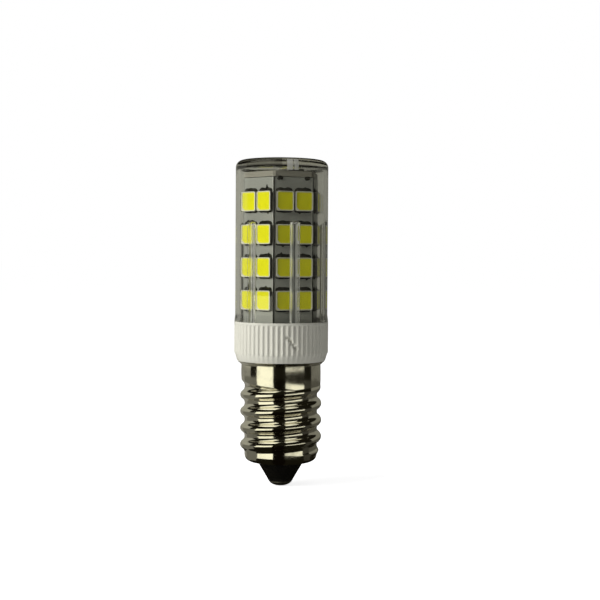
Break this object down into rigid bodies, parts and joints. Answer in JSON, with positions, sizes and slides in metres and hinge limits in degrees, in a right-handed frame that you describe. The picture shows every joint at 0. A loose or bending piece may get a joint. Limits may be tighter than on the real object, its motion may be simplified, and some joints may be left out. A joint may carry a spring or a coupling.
{
  "type": "led fridge bulb",
  "caption": "Small tubular clear covered lamp with yellow diodes on a six sided column, white fluted collar and nickel screw cap.",
  "frame": {"origin": "tip of the contact on the axis of the screw cap", "axes": "+Z along the axis from the contact tip towards the closed end of the clear cover, -Y towards the viewer of the picture"},
  "size_m": [0.016, 0.016, 0.0556],
  "materials": {
    "center_contact": "dull nickel plate",
    "shell_insulator": "black, slightly shiny",
    "screw_shell": "bright nickel plate",
    "collar": "white, satin",
    "clear_cover": "clear, polished",
    "led_board": "white board lacquer",
    "top_board": "white board lacquer",
    "top_board_solder": "dull solder",
    "led_housings_face_1": "white, satin",
    "led_housings_face_2": "white, satin",
    "led_housings_face_3": "white, satin",
    "led_housings_face_4": "white, satin",
    "led_housings_face_5": "white, satin",
    "led_housings_face_6": "white, satin",
    "led_phosphors_face_1": "yellow, smooth",
    "led_phosphors_face_2": "yellow, smooth",
    "led_phosphors_face_3": "yellow, smooth",
    "led_phosphors_face_4": "yellow, smooth",
    "led_phosphors_face_5": "yellow, smooth",
    "led_phosphors_face_6": "yellow, smooth",
    "led_solder_face_1": "dull solder",
    "led_solder_face_2": "dull solder",
    "led_solder_face_3": "dull solder",
    "led_solder_face_4": "dull solder",
    "led_solder_face_5": "dull solder",
    "led_solder_face_6": "dull solder",
    "led_housings_top": "white, satin",
    "led_phosphors_top": "yellow, smooth",
    "led_solder_top": "dull solder",
    "driver_board": "bare board",
    "film_capacitor": "red case",
    "smoothing_capacitor": "sleeved can",
    "bridge_rectifier": "black case",
    "bleed_resistor": "dark chip",
    "fuse_resistor": "green lacquer",
    "live_wire": "red insulation",
    "neutral_wire": "black insulation",
    "led_wire_positive": "red insulation",
    "led_wire_negative": "black insulation"
  },
  "bodies": {
    "root": {"center_contact": "center_contact", "shell_insulator": "shell_insulator", "screw_shell": "screw_shell", "collar": "collar", "clear_cover": "clear_cover", "led_board": "led_board", "top_board": "top_board", "top_board_solder": "top_board_solder", "led_housings_face_1": "led_housings_face_1", "led_housings_face_2": "led_housings_face_2", "led_housings_face_3": "led_housings_face_3", "led_housings_face_4": "led_housings_face_4", "led_housings_face_5": "led_housings_face_5", "led_housings_face_6": "led_housings_face_6", "led_phosphors_face_1": "led_phosphors_face_1", "led_phosphors_face_2": "led_phosphors_face_2", "led_phosphors_face_3": "led_phosphors_face_3", "led_phosphors_face_4": "led_phosphors_face_4", "led_phosphors_face_5": "led_phosphors_face_5", "led_phosphors_face_6": "led_phosphors_face_6", "led_solder_face_1": "led_solder_face_1", "led_solder_face_2": "led_solder_face_2", "led_solder_face_3": "led_solder_face_3", "led_solder_face_4": "led_solder_face_4", "led_solder_face_5": "led_solder_face_5", "led_solder_face_6": "led_solder_face_6", "led_housings_top": "led_housings_top", "led_phosphors_top": "led_phosphors_top", "led_solder_top": "led_solder_top", "driver_board": "driver_board", "film_capacitor": "film_capacitor", "smoothing_capacitor": "smoothing_capacitor", "bridge_rectifier": "bridge_rectifier", "bleed_resistor": "bleed_resistor", "fuse_resistor": "fuse_resistor", "live_wire": "live_wire", "neutral_wire": "neutral_wire", "led_wire_positive": "led_wire_positive", "led_wire_negative": "led_wire_negative"}
  },
  "joints": []
}
